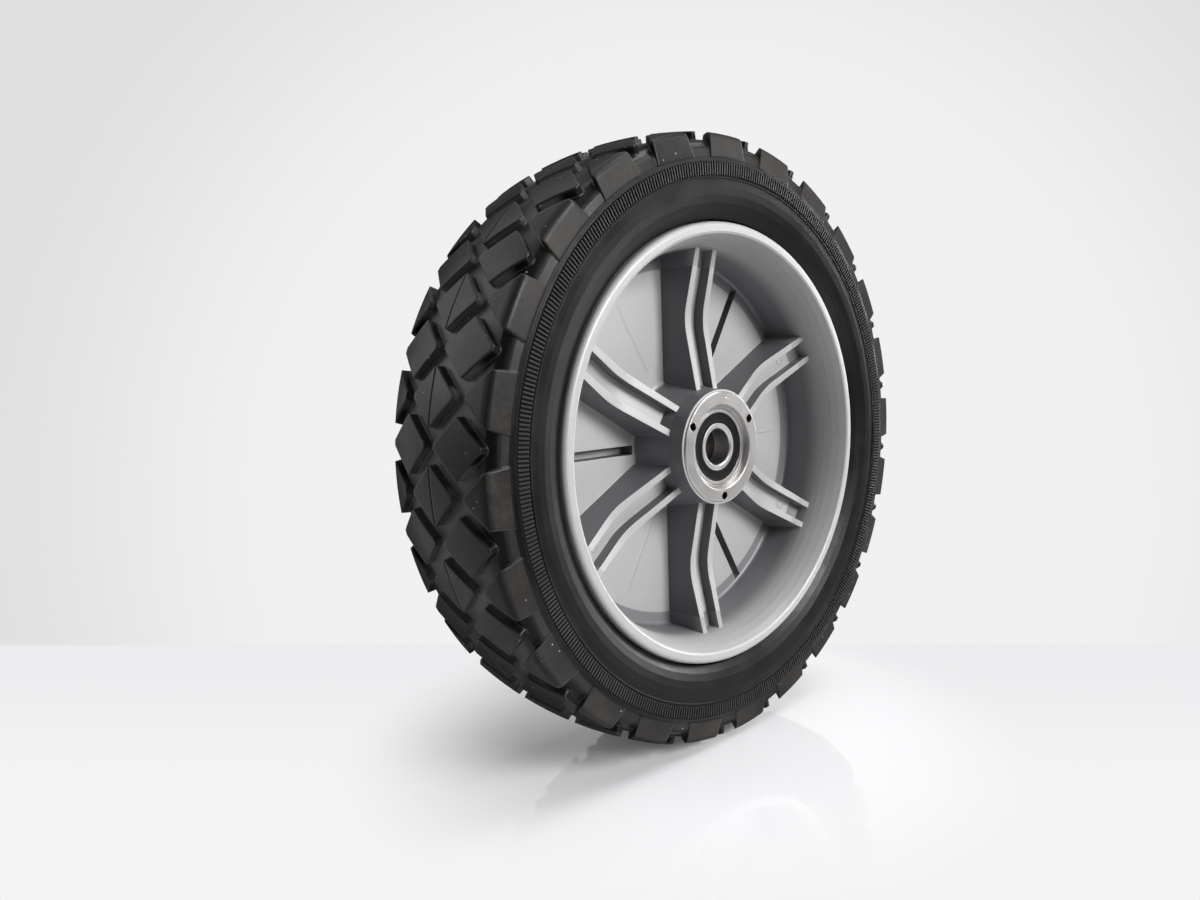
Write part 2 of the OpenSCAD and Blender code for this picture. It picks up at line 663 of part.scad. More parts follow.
// Puts a bearing piece in its seat: the front bearing at the outer side, the rear one mirrored
module seated(s) lay() side(s) translate([0, 0, brg_mid]) children();

STEEL = [0.72, 0.73, 0.75];
CAGE = [0.62, 0.60, 0.56];
SEAL = [0.05, 0.05, 0.05];

module front_outer_ring() color(STEEL) seated(1) outer_ring_body();
module front_inner_ring() color(STEEL) seated(1) inner_ring_body();
module front_balls() color(STEEL) seated(1) balls_body();
module front_cage_outer() color(CAGE) seated(1) cage_body();
module front_cage_inner() color(CAGE) seated(1) side(-1) cage_body();
module front_cage_rivets() color(CAGE) seated(1) rivets_body();
module front_seal_outer() color(SEAL) seated(1) seal_body();
module front_seal_inner() color(SEAL) seated(1) side(-1) seal_body();

module rear_outer_ring() color(STEEL) seated(-1) outer_ring_body();
module rear_inner_ring() color(STEEL) seated(-1) inner_ring_body();
module rear_balls() color(STEEL) seated(-1) balls_body();
module rear_cage_outer() color(CAGE) seated(-1) cage_body();
module rear_cage_inner() color(CAGE) seated(-1) side(-1) cage_body();
module rear_cage_rivets() color(CAGE) seated(-1) rivets_body();
module rear_seal_outer() color(SEAL) seated(-1) seal_body();
module rear_seal_inner() color(SEAL) seated(-1) side(-1) seal_body();

tyre();
rim();
hub_sleeve();
spacer_tube();
front_outer_ring();
front_inner_ring();
front_balls();
front_cage_outer();
front_cage_inner();
front_cage_rivets();
front_seal_outer();
front_seal_inner();
rear_outer_ring();
rear_inner_ring();
rear_balls();
rear_cage_outer();
rear_cage_inner();
rear_cage_rivets();
rear_seal_outer();
rear_seal_inner();
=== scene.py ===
import math

import bpy
from mathutils import Matrix, Vector


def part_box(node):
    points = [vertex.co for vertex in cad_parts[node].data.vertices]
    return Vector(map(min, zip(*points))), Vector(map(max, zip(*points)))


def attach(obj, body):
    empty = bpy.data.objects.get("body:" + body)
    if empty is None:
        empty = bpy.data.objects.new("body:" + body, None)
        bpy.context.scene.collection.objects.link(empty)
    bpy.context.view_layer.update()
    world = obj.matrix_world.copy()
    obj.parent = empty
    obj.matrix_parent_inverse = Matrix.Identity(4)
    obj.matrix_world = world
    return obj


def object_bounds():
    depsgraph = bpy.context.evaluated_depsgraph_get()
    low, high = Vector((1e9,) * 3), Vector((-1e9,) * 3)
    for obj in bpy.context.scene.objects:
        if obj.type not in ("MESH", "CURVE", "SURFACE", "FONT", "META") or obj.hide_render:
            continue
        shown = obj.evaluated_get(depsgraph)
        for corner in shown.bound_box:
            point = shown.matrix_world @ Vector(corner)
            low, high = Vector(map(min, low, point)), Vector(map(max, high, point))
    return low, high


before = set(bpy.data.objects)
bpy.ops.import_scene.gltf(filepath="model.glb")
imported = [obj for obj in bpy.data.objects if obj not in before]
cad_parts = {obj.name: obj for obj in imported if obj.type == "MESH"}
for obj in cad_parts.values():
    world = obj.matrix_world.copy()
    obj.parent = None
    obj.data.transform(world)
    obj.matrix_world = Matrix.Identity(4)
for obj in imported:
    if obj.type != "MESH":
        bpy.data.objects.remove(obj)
cad_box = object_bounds()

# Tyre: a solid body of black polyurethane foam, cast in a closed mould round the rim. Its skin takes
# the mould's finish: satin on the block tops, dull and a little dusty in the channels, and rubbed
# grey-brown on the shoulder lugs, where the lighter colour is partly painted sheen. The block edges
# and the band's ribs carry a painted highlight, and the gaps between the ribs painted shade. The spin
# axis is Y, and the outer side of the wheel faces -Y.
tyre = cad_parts["tyre"]
tyre_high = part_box("tyre")[1]
tread_r = tyre_high.z
side_h = tyre_high.y
crown_r = 0.140
lug_foot_r = tread_r - 0.0109
lug_face_h = side_h - 0.0010
dust_h = side_h - 0.0065
band_r = tread_r - 0.0129
band_h = 0.0055
band_lean = 0.0005
band_fade = 0.0003
tread_fade = 0.0004
top_fade = (0.0010, 0.0002)
lug_fade = (0.0012, 0.0006)
dust_fade = 0.004
bead_fade = (0.008, 0.012)
rib_rise = (0.00028, 0.00008)
soft_side = 0.0003
soft_tread = 0.0011
foam_black = (0.0036, 0.0034, 0.0037, 1)
foam_smudge = (0.0130, 0.0112, 0.0090, 1)
foam_channel = (0.075, 0.071, 0.068, 1)
foam_top = (0.0110, 0.0108, 0.0115, 1)
foam_bead = (0.0045, 0.0043, 0.0046, 1)
foam_rib_highlight = (0.0300, 0.0290, 0.0290, 1)
foam_scuff_and_sheen = (0.040, 0.035, 0.029, 1)
foam_edge_highlight = (0.090, 0.085, 0.081, 1)
foam_gap_shade = (0.0015, 0.0015, 0.0016, 1)
speck_grey = (0.30, 0.29, 0.28, 1)
rib_highlight_share = 0.8
rubbed_and_sheen_share = 0.75
edge_highlight_share = 0.55
speck_cells = 300.0
speck_reach = (0.11, 0.06)
speck_choice = 0.72
side_gloss = 0.36
tread_gloss = 0.32
rubbed_dull = 0.18
gap_dull = 0.5
lug_dull = 0.24
glance_from = 0.55
glance_to = 0.83
glance_dull = 0.6
grain_depth = 0.000006
sag_depth = 0.00002


def place(tree, kind, sockets=None, **settings):
    """Adds a shader node. A socket takes a plain value or another node's output."""
    node = tree.nodes.new("ShaderNode" + kind)
    for name, value in settings.items():
        setattr(node, name, value)
    for key, value in (sockets or {}).items():
        if isinstance(value, bpy.types.NodeSocket):
            tree.links.new(value, node.inputs[key])
        else:
            node.inputs[key].default_value = value
    return node


def calc(tree, operation, *values):
    return place(tree, "Math", dict(enumerate(values)), operation=operation).outputs[0]


def chain(tree, operation, first, *others):
    """The same operation over several values, one after another."""
    for value in others:
        first = calc(tree, operation, first, value)
    return first


def ease(tree, value, start, end, low=0.0, high=1.0):
    """A value that runs smoothly from low to high while the given one runs from start to end."""
    sockets = {"Value": value, "From Min": start, "From Max": end, "To Min": low, "To Max": high}
    return place(tree, "MapRange", sockets, interpolation_type="SMOOTHSTEP").outputs["Result"]


def tint(tree, share, first, second):
    """The first colour, with a share of the second."""
    return place(tree, "Mix", {0: share, 6: first, 7: second}, data_type="RGBA").outputs[2]


def new_effect(name, takes, gives):
    """An empty node group. Its sockets are numbers, apart from a normal or a direction."""
    tree = bpy.data.node_groups.new(name, "ShaderNodeTree")
    kinds = {"Normal": "NodeSocketVector", "Direction": "NodeSocketVector"}
    for label, value in takes.items():
        kind = kinds.get(label, "NodeSocketFloat")
        tree.interface.new_socket(label, in_out="INPUT", socket_type=kind).default_value = value
    for label in gives:
        tree.interface.new_socket(label, in_out="OUTPUT", socket_type=kinds.get(label, "NodeSocketFloat"))
    return tree, tree.nodes.new("NodeGroupInput"), tree.nodes.new("NodeGroupOutput")


def use(tree, effect, **values):
    node = tree.nodes.new("ShaderNodeGroup")
    node.node_tree = effect
    for label, value in values.items():
        if isinstance(value, bpy.types.NodeSocket):
            tree.links.new(value, node.inputs[label])
        else:
            node.inputs[label].default_value = value
    return node


# Effect: where a point lies on the wheel, as its distance from the axle, from the mid-plane, and its
# turn from the top
wheel_place, _, out = new_effect("wheel_place", {}, ("Radius", "Side", "Turn"))
point = place(wheel_place, "SeparateXYZ", {0: place(wheel_place, "TexCoord").outputs["Object"]}).outputs
squares = [calc(wheel_place, "MULTIPLY", point[axis], point[axis]) for axis in ("X", "Z")]
wheel_place.links.new(calc(wheel_place, "SQRT", calc(wheel_place, "ADD", *squares)), out.inputs["Radius"])
wheel_place.links.new(calc(wheel_place, "ABSOLUTE", point["Y"]), out.inputs["Side"])
wheel_place.links.new(calc(wheel_place, "ARCTAN2", point["X"], point["Z"]), out.inputs["Turn"])

# Effect: cloudy variation, with patches of about the given size in metres
mottle, given, out = new_effect("mottle", {"Size": 0.01, "Low": 0.0, "High": 1.0}, ("Value",))
clouds = place(mottle, "TexNoise", {
    "Vector": place(mottle, "TexCoord").outputs["Object"],
    "Scale": calc(mottle, "DIVIDE", 1.0, given.outputs["Size"]), "Detail": 4.0, "Roughness": 0.6})
mottle.links.new(
    ease(mottle, clouds.outputs[0], 0.34, 0.66, given.outputs["Low"], given.outputs["High"]),
    out.inputs["Value"])

# Effect: edges rounded to a radius, and how far a point lies on such an edge
soft_edge, given, out = new_effect("soft_edge", {"Radius": 0.0004}, ("Normal", "Edge"))
rounded = place(soft_edge, "Bevel", {"Radius": given.outputs["Radius"]}, samples=8).outputs[0]
flat = place(soft_edge, "NewGeometry").outputs["Normal"]
agree = place(soft_edge, "VectorMath", {0: rounded, 1: flat}, operation="DOT_PRODUCT").outputs["Value"]
soft_edge.links.new(rounded, out.inputs["Normal"])
soft_edge.links.new(ease(soft_edge, agree, 0.995, 0.80), out.inputs["Edge"])


def new_finish(name, roughness, metallic=0.0, **plain):
    """Starts a material and gives back its tree and its shader."""
    material = bpy.data.materials.new(name)
    material.use_nodes = True
    shader = material.node_tree.nodes["Principled BSDF"]
    shader.inputs["Roughness"].default_value = roughness
    shader.inputs["Metallic"].default_value = metallic
    for label, value in plain.items():
        shader.inputs[label.replace("_", " ")].default_value = value
    return material, material.node_tree, shader


def bump(tree, height, depth, normal=None):
    """Turns a height into a normal, for a relief in which a height of 1 is that depth in metres."""
    sockets = {"Height": height, "Distance": depth, "Strength": 1.0}
    if normal is not None:
        sockets["Normal"] = normal
    return place(tree, "Bump", sockets).outputs["Normal"]


def patches(tree, size, low=0.0, high=1.0):
    """A value that wanders between low and high in patches of about that size in metres."""
    return use(tree, mottle, Size=size, Low=low, High=high).outputs["Value"]


def dress(tree, shader, **looks):
    """Links outputs to the shader's sockets of those names."""
    for label, output in looks.items():
        tree.links.new(output, shader.inputs[label.replace("_", " ")])


def put_on(obj, material):
    obj.data.materials.clear()
    obj.data.materials.append(material)


foam, tree, shader = new_finish("tyre_foam_skin", side_gloss, Specular_IOR_Level=0.14)
spot = use(tree, wheel_place).outputs

# Where the point lies: on the tread, on a block's top, on a lug's outer face, between two ribs
in_tread = ease(tree, spot["Radius"], lug_foot_r - tread_fade, lug_foot_r)
edge = use(tree, soft_edge, Radius=ease(tree, in_tread, 0.0, 1.0, soft_side, soft_tread)).outputs
crown_drop = calc(tree, "DIVIDE", calc(tree, "MULTIPLY", spot["Side"], spot["Side"]), 2 * crown_r)
depth = chain(tree, "SUBTRACT", tread_r, crown_drop, spot["Radius"])
on_top = ease(tree, depth, *top_fade)
lug_face = ease(tree, spot["Side"], lug_face_h - lug_fade[0], lug_face_h - lug_fade[1])
lug_face = calc(tree, "MULTIPLY", lug_face, in_tread)
block_top = calc(tree, "MULTIPLY", calc(tree, "MAXIMUM", on_top, lug_face), in_tread)
dusty = calc(tree, "MULTIPLY", in_tread, ease(tree, spot["Side"], dust_h, dust_h - dust_fade))
# The lug faces are painted lighter grey-brown in patches: partly scuffing, partly painted sheen
rubbed_and_sheen = chain(tree, "MULTIPLY", lug_face, patches(tree, size=0.021, low=0.15),
               patches(tree, size=0.0016, low=0.55))
# Painted highlight: the tread's block edges are painted lighter
tread_edge_highlight = chain(tree, "MULTIPLY", edge["Edge"], in_tread, edge_highlight_share)
bead_side = ease(tree, spot["Radius"], lug_foot_r - bead_fade[0], lug_foot_r - bead_fade[1])
smudge = patches(tree, size=0.045, low=-0.8, high=0.9)
smudge = calc(tree, "MULTIPLY", calc(tree, "SUBTRACT", 1.0, in_tread), smudge)
smudge = calc(tree, "MAXIMUM", smudge, 0.0)
# The ribbed band: its ribs get a painted highlight, and the gaps between them painted shade
in_band = calc(tree, "MULTIPLY", ease(tree, spot["Radius"], band_r, band_r - band_fade),
               ease(tree, spot["Radius"], band_r - band_h, band_r - band_h + band_fade))
rise = calc(tree, "MULTIPLY", calc(tree, "SUBTRACT", band_r, spot["Radius"]), band_lean / band_h)
rise = calc(tree, "ADD", calc(tree, "SUBTRACT", spot["Side"], side_h), rise)
# Painted shade in the gaps between the ribs
rib_gap = calc(tree, "MULTIPLY", in_band, ease(tree, rise, *rib_rise))
dots = place(tree, "TexVoronoi", {"Vector": place(tree, "TexCoord").outputs["Object"], "Scale": speck_cells})
chosen = place(tree, "SeparateColor", {0: dots.outputs["Color"]}).outputs[0]
specks = chain(tree, "MULTIPLY", ease(tree, dots.outputs["Distance"], *speck_reach), in_tread,
               calc(tree, "GREATER_THAN", chosen, speck_choice))

colour = foam_black
for share, other in (
        (smudge, foam_smudge), (dusty, foam_channel), (block_top, foam_top), (bead_side, foam_bead),
        (calc(tree, "MULTIPLY", in_band, rib_highlight_share), foam_rib_highlight),
        (calc(tree, "MULTIPLY", rubbed_and_sheen, rubbed_and_sheen_share), foam_scuff_and_sheen), (tread_edge_highlight, foam_edge_highlight),
        (patches(tree, size=0.03, high=0.35), foam_black), (specks, speck_grey), (rib_gap, foam_gap_shade)):
    colour = tint(tree, share, colour, other)

# At a glancing view the skin's fine pores take its gloss away
glance = place(tree, "LayerWeight", {"Blend": 0.5}).outputs["Facing"]
glance = calc(tree, "ADD", glance, calc(tree, "MULTIPLY", lug_face, lug_dull))
sheen = chain(tree, "ADD", ease(tree, in_tread, 0.0, 1.0, side_gloss, tread_gloss),
              patches(tree, size=0.016, low=-0.04, high=0.04),
              patches(tree, size=0.0012, low=-0.03, high=0.03),
              calc(tree, "MULTIPLY", rubbed_and_sheen, rubbed_dull), calc(tree, "MULTIPLY", rib_gap, gap_dull),
              ease(tree, glance, glance_from, glance_to, 0.0, glance_dull))
skin = bump(tree, patches(tree, size=0.0007), grain_depth, edge["Normal"])
skin = bump(tree, patches(tree, size=0.006), sag_depth, skin)
dress(tree, shader, Base_Color=colour, Roughness=sheen, Normal=skin)
put_on(tyre, foam)

# Ribbed band: a ring of fine upright ribs that the mould presses into the sidewall below the lugs,
# on both sides of the tyre. Twenty ribs stand under each pitch of the tread.
ribs = 480
rib_margin = 0.00035
rib_foot = 0.00098
rib_top = 0.00066
rib_height = 0.00050
rib_sunk = 0.0003
rib_end_taper = 0.94
rib_round = 0.00012
merge_below = 0.00001
smooth_below = math.radians(30)


def clear_selection():
    if bpy.context.object and bpy.context.object.mode != "OBJECT":
        bpy.ops.object.mode_set(mode="OBJECT")
    bpy.ops.object.select_all(action="DESELECT")


def take(obj):
    """Selects one object alone."""
    clear_selection()
    obj.select_set(True)
    bpy.context.view_layer.objects.active = obj


def pick(obj, test):
    """Enters edit mode with only the faces selected that pass a test."""
    take(obj)
    bpy.ops.object.mode_set(mode="EDIT")
    bpy.ops.mesh.select_mode(type="FACE")
    bpy.ops.mesh.select_all(action="DESELECT")
    bpy.ops.object.mode_set(mode="OBJECT")
    for face in obj.data.polygons:
        face.select = test(face)
    bpy.ops.object.mode_set(mode="EDIT")


clear_selection()
bpy.ops.mesh.primitive_cube_add(size=1, location=(0, 0, 0))
rib = bpy.context.object
rib.scale = (rib_foot, rib_height + rib_sunk, band_h - 2 * rib_margin)
bpy.ops.object.transform_apply(location=False, rotation=False, scale=True)
pick(rib, lambda face: face.normal.y < -0.9)
bpy.ops.transform.resize(value=(rib_top / rib_foot, 1, rib_end_taper))
bpy.ops.object.mode_set(mode="OBJECT")
pick(rib, lambda face: face.normal.y > 0.9)
bpy.ops.mesh.delete(type="FACE")
bpy.ops.object.mode_set(mode="OBJECT")
bevel = rib.modifiers.new("round", "BEVEL")
bevel.width = rib_round
bevel.segments = 1
bpy.ops.object.modifier_apply(modifier=bevel.name)
band_mid = Vector((0, -(side_h - band_lean / 2 + (rib_height - rib_sunk) / 2), band_r - band_h / 2))
lean = Matrix.Rotation(math.atan(band_lean / band_h), 4, "X")
rib.data.transform(Matrix.Translation(band_mid) @ lean)
pick(rib, lambda face: True)
bpy.ops.mesh.spin(steps=ribs, dupli=True, angle=2 * math.pi, center=(0, 0, 0), axis=(0, 1, 0))
bpy.ops.mesh.select_all(action="SELECT")
bpy.ops.mesh.remove_doubles(threshold=merge_below)
bpy.ops.mesh.normals_make_consistent(inside=False)
bpy.ops.object.mode_set(mode="OBJECT")
take(rib)
bpy.ops.object.transform_apply(location=True, rotation=True, scale=True)
bpy.ops.object.shade_smooth_by_angle(angle=smooth_below)
put_on(rib, foam)
front_ribs = rib
front_ribs.name = front_ribs.data.name = "band_ribs_front"
rear_ribs = front_ribs.copy()
rear_ribs.data = front_ribs.data.copy()
bpy.context.collection.objects.link(rear_ribs)
rear_ribs.data.transform(Matrix.Scale(-1, 4, (0, 1, 0)))
rear_ribs.data.flip_normals()
rear_ribs.name = rear_ribs.data.name = "band_ribs_rear"
for ring in (front_ribs, rear_ribs):
    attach(ring, "wheel")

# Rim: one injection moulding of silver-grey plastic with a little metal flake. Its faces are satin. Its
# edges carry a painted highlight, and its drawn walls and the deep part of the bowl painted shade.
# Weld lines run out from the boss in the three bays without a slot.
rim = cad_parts["rim"]
rim_grey = (0.345, 0.343, 0.34, 1)
rim_deep = (0.315, 0.315, 0.318, 1)
rim_flake_and_highlight = (0.56, 0.56, 0.56, 1)
rim_shade_and_weld_tone = (0.130, 0.131, 0.142, 1)
rim_highlight_share = 0.35
wall_lean = (0.75, 0.15)
bowl_from_r = (0.0728, 0.0734)
bowl_light_h = 0.0150
bowl_dark_h = 0.0045
bowl_dark_share = 0.85
weld_turns = [math.radians(88.3 + 120 * k) for k in range(3)]
weld_from = (0.034, 0.038)
weld_to = (0.072, 0.060)
weld_line = (0.0007, 0.0001)
weld_share = 0.2
weld_depth = 0.00012
lip_r = 0.0843
lip_line = (0.00045, 0.0001)
pins = 6
pin_turn = math.radians(58.3)
pin_place_r = 0.068
pin_r = 0.0016
pin_line = (0.00025, 0.00005)
mark_depth = 0.00025
rim_grain_depth = 0.000008

# Effect: how far a point lies from the middle of the nearest of several round marks, which are set
# evenly round the wheel, and its turn about that middle
round_mark, given, out = new_effect(
    "round_mark", {"First": 0.0, "Half": 0.5, "Reach": 0.068}, ("Off", "Round"))
spot = use(round_mark, wheel_place).outputs
turn = calc(round_mark, "SUBTRACT", spot["Turn"], given.outputs["First"])
back = calc(round_mark, "MULTIPLY", given.outputs["Half"], -1.0)
turn = calc(round_mark, "WRAP", turn, given.outputs["Half"], back)
across = calc(round_mark, "MULTIPLY", spot["Radius"], calc(round_mark, "SINE", turn))
along = calc(round_mark, "MULTIPLY", spot["Radius"], calc(round_mark, "COSINE", turn))
along = calc(round_mark, "SUBTRACT", along, given.outputs["Reach"])
squares = [calc(round_mark, "MULTIPLY", way, way) for way in (across, along)]
round_mark.links.new(calc(round_mark, "SQRT", calc(round_mark, "ADD", *squares)), out.inputs["Off"])
round_mark.links.new(calc(round_mark, "ARCTAN2", across, along), out.inputs["Round"])

silver, tree, shader = new_finish("rim_plastic_satin", 0.45, metallic=0.2, Specular_IOR_Level=0.3)
spot = use(tree, wheel_place).outputs
# The edge mask also sets a painted highlight on the rim's edges
edge = use(tree, soft_edge, Radius=0.0003).outputs

# The share of painted shade: by the draw of a wall, and in the bowl by its depth
leans = place(tree, "SeparateXYZ", {0: place(tree, "NewGeometry").outputs["Normal"]}).outputs["Y"]
painted_wall_shade = ease(tree, calc(tree, "ABSOLUTE", leans), *wall_lean)
in_bowl = ease(tree, spot["Radius"], *bowl_from_r)
bowl_shade = ease(tree, spot["Side"], bowl_light_h, bowl_dark_h, 0.0, bowl_dark_share)
painted_wall_shade = place(tree, "Mix", {0: in_bowl, 2: painted_wall_shade, 3: bowl_shade}, data_type="FLOAT").outputs[0]

# The weld lines wander a little, and the lip line and the ejector pins leave fine grooves
turn = calc(tree, "ADD", spot["Turn"], patches(tree, size=0.04, low=-0.015, high=0.015))
weld = 0.0
for middle in weld_turns:
    off = calc(tree, "WRAP", calc(tree, "SUBTRACT", turn, middle), math.pi, -math.pi)
    off = calc(tree, "MULTIPLY", calc(tree, "ABSOLUTE", off), spot["Radius"])
    weld = calc(tree, "ADD", weld, ease(tree, off, *weld_line))
reach = calc(tree, "MULTIPLY", ease(tree, spot["Radius"], *weld_from),
             ease(tree, spot["Radius"], *weld_to))
weld = calc(tree, "MULTIPLY", weld, reach)
lip = calc(tree, "ABSOLUTE", calc(tree, "SUBTRACT", spot["Radius"], lip_r))
pin = use(tree, round_mark, First=pin_turn, Half=math.pi / pins, Reach=pin_place_r).outputs["Off"]
pin = calc(tree, "ABSOLUTE", calc(tree, "SUBTRACT", pin, pin_r))
marks = calc(tree, "ADD", ease(tree, lip, *lip_line), ease(tree, pin, *pin_line))

# The walls and the deep bowl get painted shade, and the weld lines take the same dark colour
colour = tint(tree, patches(tree, size=0.05, high=0.5), rim_grey, rim_deep)
for share, other in (
        (patches(tree, size=0.0005, high=0.10), rim_flake_and_highlight), (painted_wall_shade, rim_shade_and_weld_tone),
        (calc(tree, "MULTIPLY", edge["Edge"], rim_highlight_share), rim_flake_and_highlight),
        (calc(tree, "MULTIPLY", weld, weld_share), rim_shade_and_weld_tone)):
    colour = tint(tree, share, colour, other)
surface = bump(tree, patches(tree, size=0.0009), rim_grain_depth, edge["Normal"])
surface = bump(tree, weld, weld_depth, surface)
surface = bump(tree, calc(tree, "SUBTRACT", 1.0, marks), mark_depth, surface)
dress(tree, shader, Base_Color=colour, Roughness=patches(tree, size=0.012, low=0.42, high=0.50),
      Normal=surface)
put_on(rim, silver)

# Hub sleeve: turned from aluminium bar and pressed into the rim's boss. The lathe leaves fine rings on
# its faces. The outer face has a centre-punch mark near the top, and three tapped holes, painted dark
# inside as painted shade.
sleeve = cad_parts["hub_sleeve"]
sleeve_face_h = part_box("hub_sleeve")[1].y
aluminium_light = (0.52, 0.51, 0.50, 1)
aluminium_dark = (0.46, 0.45, 0.44, 1)
painted_thread_shade = (0.10, 0.095, 0.09, 1)
ring_pitch = 0.0005
ring_depth = 0.000004
punch_turn = math.radians(5.75)
punch_place_r = 0.0206
punch_slope = (0.0001, 0.00055)
punch_depth = 0.0003
taps = 3
tap_turn = math.radians(56.5)
tap_place_r = 0.0203
tap_r = 0.00165
tap_fade = (0.0002, 0.0001)
thread_pitch = 0.0007
thread_depth = 0.00006

# Effect: the uneven rings that a turning tool or a grinding wheel leaves round the axle
lathe_marks, given, out = new_effect("lathe_marks", {"Pitch": 0.0005}, ("Value",))
from_axle = use(lathe_marks, wheel_place).outputs["Radius"]
rings = place(lathe_marks, "TexNoise", {
    "W": calc(lathe_marks, "DIVIDE", from_axle, given.outputs["Pitch"]), "Scale": 1.0, "Detail": 2.0},
    noise_dimensions="1D")
lathe_marks.links.new(ease(lathe_marks, rings.outputs[0], 0.3, 0.7), out.inputs["Value"])

turned, tree, shader = new_finish("sleeve_turned_aluminium", 0.3, metallic=1.0)
point = place(tree, "TexCoord").outputs["Object"]
along_axle = place(tree, "SeparateXYZ", {0: point}).outputs["Y"]
edge = use(tree, soft_edge, Radius=0.0002).outputs
rings = use(tree, lathe_marks, Pitch=ring_pitch).outputs["Value"]
tap = use(tree, round_mark, First=tap_turn, Half=math.pi / taps, Reach=tap_place_r).outputs
in_tap = ease(tree, tap["Off"], tap_r + tap_fade[0], tap_r + tap_fade[1])
in_tap = calc(tree, "MULTIPLY", in_tap, calc(tree, "LESS_THAN", along_axle, 0.0))
helix = calc(tree, "MULTIPLY", along_axle, 2 * math.pi / thread_pitch)
helix = calc(tree, "SINE", calc(tree, "ADD", helix, tap["Round"]))
punch_place = (punch_place_r * math.sin(punch_turn), -sleeve_face_h, punch_place_r * math.cos(punch_turn))
punch = place(tree, "VectorMath", {0: point, 1: punch_place}, operation="DISTANCE").outputs["Value"]
colour = tint(tree, rings, aluminium_light, aluminium_dark)
# Painted shade: the tapped holes are painted dark inside
colour = tint(tree, in_tap, colour, painted_thread_shade)
surface = bump(tree, rings, ring_depth, edge["Normal"])
surface = bump(tree, ease(tree, punch, *punch_slope), punch_depth, surface)
surface = bump(tree, calc(tree, "MULTIPLY", helix, in_tap), thread_depth, surface)
dress(tree, shader, Base_Color=colour, Roughness=patches(tree, size=0.006, low=0.30, high=0.35),
      Normal=surface)
put_on(sleeve, turned)

# Bearings: two sealed deep groove ball bearings, with ground rings, polished balls, and cages pressed
# from sheet and riveted. Each is pressed into its seat in the sleeve.
ring_steel = (0.60, 0.59, 0.585, 1)
ring_shade = (0.47, 0.46, 0.455, 1)
grind_pitch = 0.0003
grind_depth = 0.000001
cage_light = (0.52, 0.49, 0.44, 1)
cage_dark = (0.38, 0.35, 0.31, 1)
cage_grain_depth = 0.000006
seal_black = (0.0065, 0.0060, 0.0061, 1)
seal_grey = (0.014, 0.013, 0.013, 1)
seal_highlight_share = 0.4
seal_grain_depth = 0.000006

ground, tree, shader = new_finish("ring_ground_steel", 0.3, metallic=1.0)
edge = use(tree, soft_edge, Radius=0.00015).outputs
grind = use(tree, lathe_marks, Pitch=grind_pitch).outputs["Value"]
dress(tree, shader, Base_Color=tint(tree, patches(tree, size=0.002, high=0.6), ring_steel, ring_shade),
      Roughness=patches(tree, size=0.006, low=0.30, high=0.36),
      Normal=bump(tree, grind, grind_depth, edge["Normal"]))

polished, tree, shader = new_finish("ball_polished_steel", 0.08, metallic=1.0)
dress(tree, shader, Base_Color=tint(tree, patches(tree, size=0.002, high=0.4), ring_steel, ring_shade),
      Roughness=patches(tree, size=0.001, low=0.05, high=0.12))

pressed, tree, shader = new_finish("cage_pressed_sheet", 0.38, metallic=1.0)
dress(tree, shader, Base_Color=tint(tree, patches(tree, size=0.0012, high=0.8), cage_light, cage_dark),
      Roughness=patches(tree, size=0.0008, low=0.30, high=0.46),
      Normal=bump(tree, patches(tree, size=0.0005), cage_grain_depth))

nitrile, tree, shader = new_finish("seal_nitrile_rubber", 0.45, Specular_IOR_Level=0.06)
edge = use(tree, soft_edge, Radius=0.00015).outputs
colour = tint(tree, patches(tree, size=0.0025, high=0.6), seal_black, seal_grey)
# Painted highlight: the seal's edges are painted a little lighter
colour = tint(tree, calc(tree, "MULTIPLY", edge["Edge"], seal_highlight_share), colour, seal_grey)
dress(tree, shader, Base_Color=colour, Roughness=patches(tree, size=0.002, low=0.38, high=0.52),
      Normal=bump(tree, patches(tree, size=0.0004), seal_grain_depth, edge["Normal"]))

bearing_finish = {
    "outer_ring": ground, "inner_ring": ground, "balls": polished, "cage_outer": pressed,
    "cage_inner": pressed, "cage_rivets": pressed, "seal_outer": nitrile, "seal_inner": nitrile}
for bearing in ("front", "rear"):
    for part, material in bearing_finish.items():
        put_on(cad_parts[f"{bearing}_{part}"], material)

# Spacer tube: cut from cold drawn steel tube, oiled and left plain. The axle's nut clamps it between
# the two inner rings.
tube_light = (0.13, 0.122, 0.112, 1)
tube_dark = (0.07, 0.065, 0.058, 1)
tube_grain_depth = 0.000008
drawn, tree, shader = new_finish("tube_drawn_steel", 0.42, metallic=1.0)
dress(tree, shader, Base_Color=tint(tree, patches(tree, size=0.004), tube_light, tube_dark),
      Roughness=patches(tree, size=0.0015, low=0.34, high=0.52),
      Normal=bump(tree, patches(tree, size=0.0006), tube_grain_depth))
put_on(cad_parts["spacer_tube"], drawn)

# Camera: at the photograph's place, a short way left of the wheel's outer side and a little above the
# axle. Its frame is shifted because the photograph was cropped.
photo_w = 1200
photo_h = 900
focal_px = 835.66
centre_px = (700.2, 492.7)
eye = Vector((-0.2618, -0.2413, 0.0287))
forward = Vector((0.7372, 0.6615, -0.1374)).normalized()
right = forward.cross(Vector((0, 0, 1))).normalized()
up = right.cross(forward)
lens = bpy.data.cameras.new("photo_camera")
lens.sensor_width = 36
lens.lens = focal_px * lens.sensor_width / photo_w
lens.shift_x = (photo_w / 2 - centre_px[0]) / photo_w
lens.shift_y = (centre_px[1] - photo_h / 2) / photo_w
lens.clip_start = 0.01
camera = bpy.data.objects.new("photo_camera", lens)
camera.matrix_world = Matrix.Translation(eye) @ Matrix((right, up, -forward)).transposed().to_4x4()
bpy.context.collection.objects.link(camera)
bpy.context.scene.camera = camera

